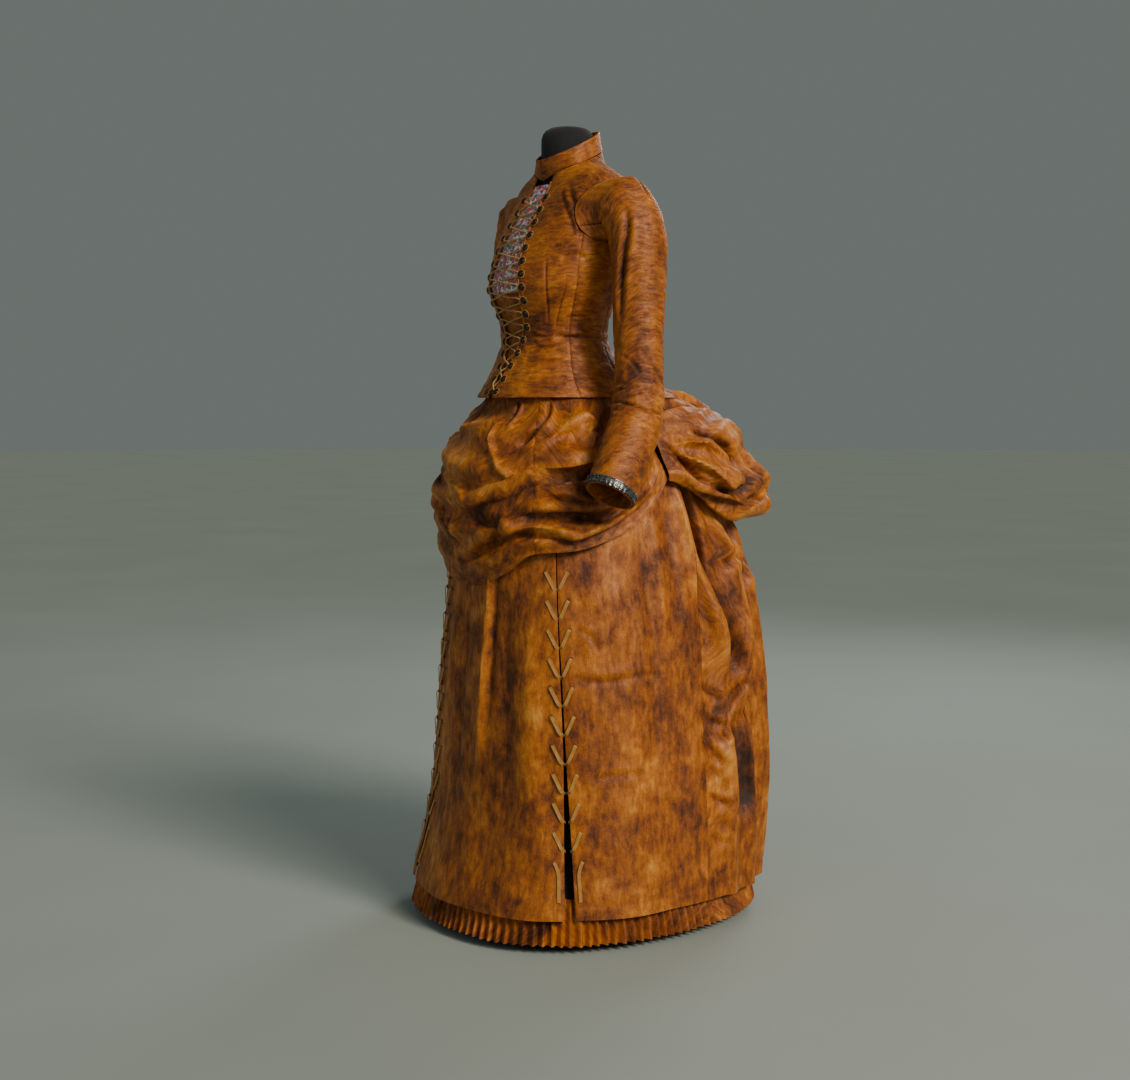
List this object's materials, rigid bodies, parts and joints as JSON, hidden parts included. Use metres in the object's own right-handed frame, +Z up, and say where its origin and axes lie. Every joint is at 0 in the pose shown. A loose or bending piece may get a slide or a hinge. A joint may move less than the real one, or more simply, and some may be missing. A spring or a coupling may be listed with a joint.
{
  "type": "bustle dress on dress form",
  "caption": "Fitted bodice laced over a printed front, swagged apron, bustle pouf and laced skirt with a pleated hem, standing on a limbless dress form with a round base.",
  "frame": {"origin": "on the floor, on the base plate's flat underside, below the middle of the wearer's body", "axes": "+Z up, -Y towards the front of the dress, +X towards the wearer's left"},
  "size_m": [0.6453, 0.6768, 1.443],
  "materials": {
    "golden_brown_velvet": "crushed velvet, mottled sheen",
    "printed_cotton": "matte, small flower print",
    "dark_brown_cotton": "matte",
    "black_jersey": "matte",
    "dark_bronze_buttons": "dark, polished",
    "gold_cord": "twisted, soft sheen",
    "bronze_ribbon": "flat ribbon, soft sheen",
    "metal_lace": "dark metal thread",
    "dark_stained_wood": "satin"
  },
  "bodies": {
    "root": {"form_body": "black_jersey", "form_stand": "dark_stained_wood", "waistband": "dark_brown_cotton", "foundation_front": "dark_brown_cotton", "foundation_left": "dark_brown_cotton", "foundation_back_left": "dark_brown_cotton", "foundation_back_right": "dark_brown_cotton", "foundation_right": "dark_brown_cotton", "ruffle_front": "golden_brown_velvet", "ruffle_left": "golden_brown_velvet", "ruffle_back_left": "golden_brown_velvet", "ruffle_back_right": "golden_brown_velvet", "ruffle_right": "golden_brown_velvet", "skirt_front": "golden_brown_velvet", "skirt_side_left": "golden_brown_velvet", "skirt_side_right": "golden_brown_velvet", "skirt_back_left": "golden_brown_velvet", "skirt_back_right": "golden_brown_velvet", "skirt_lace_left_a": "bronze_ribbon", "skirt_lace_left_b": "bronze_ribbon", "skirt_lace_right_a": "bronze_ribbon", "skirt_lace_right_b": "bronze_ribbon", "apron_front": "golden_brown_velvet", "apron_left": "golden_brown_velvet", "apron_right": "golden_brown_velvet", "pouf_left": "golden_brown_velvet", "pouf_right": "golden_brown_velvet", "bodice_front_left": "golden_brown_velvet", "bodice_front_right": "golden_brown_velvet", "bodice_side_left": "golden_brown_velvet", "bodice_side_right": "golden_brown_velvet", "bodice_back_left": "golden_brown_velvet", "bodice_back_right": "golden_brown_velvet", "collar_left": "golden_brown_velvet", "collar_right": "golden_brown_velvet", "plastron": "printed_cotton", "sleeve_upper_left": "golden_brown_velvet", "sleeve_under_left": "golden_brown_velvet", "sleeve_upper_right": "golden_brown_velvet", "sleeve_under_right": "golden_brown_velvet", "cuff_edge_left": "metal_lace", "cuff_edge_right": "metal_lace", "buttons_left": "dark_bronze_buttons", "buttons_right": "dark_bronze_buttons", "bodice_lace_a": "gold_cord", "bodice_lace_b": "gold_cord", "collar_hook": "dark_bronze_buttons"}
  },
  "joints": []
}
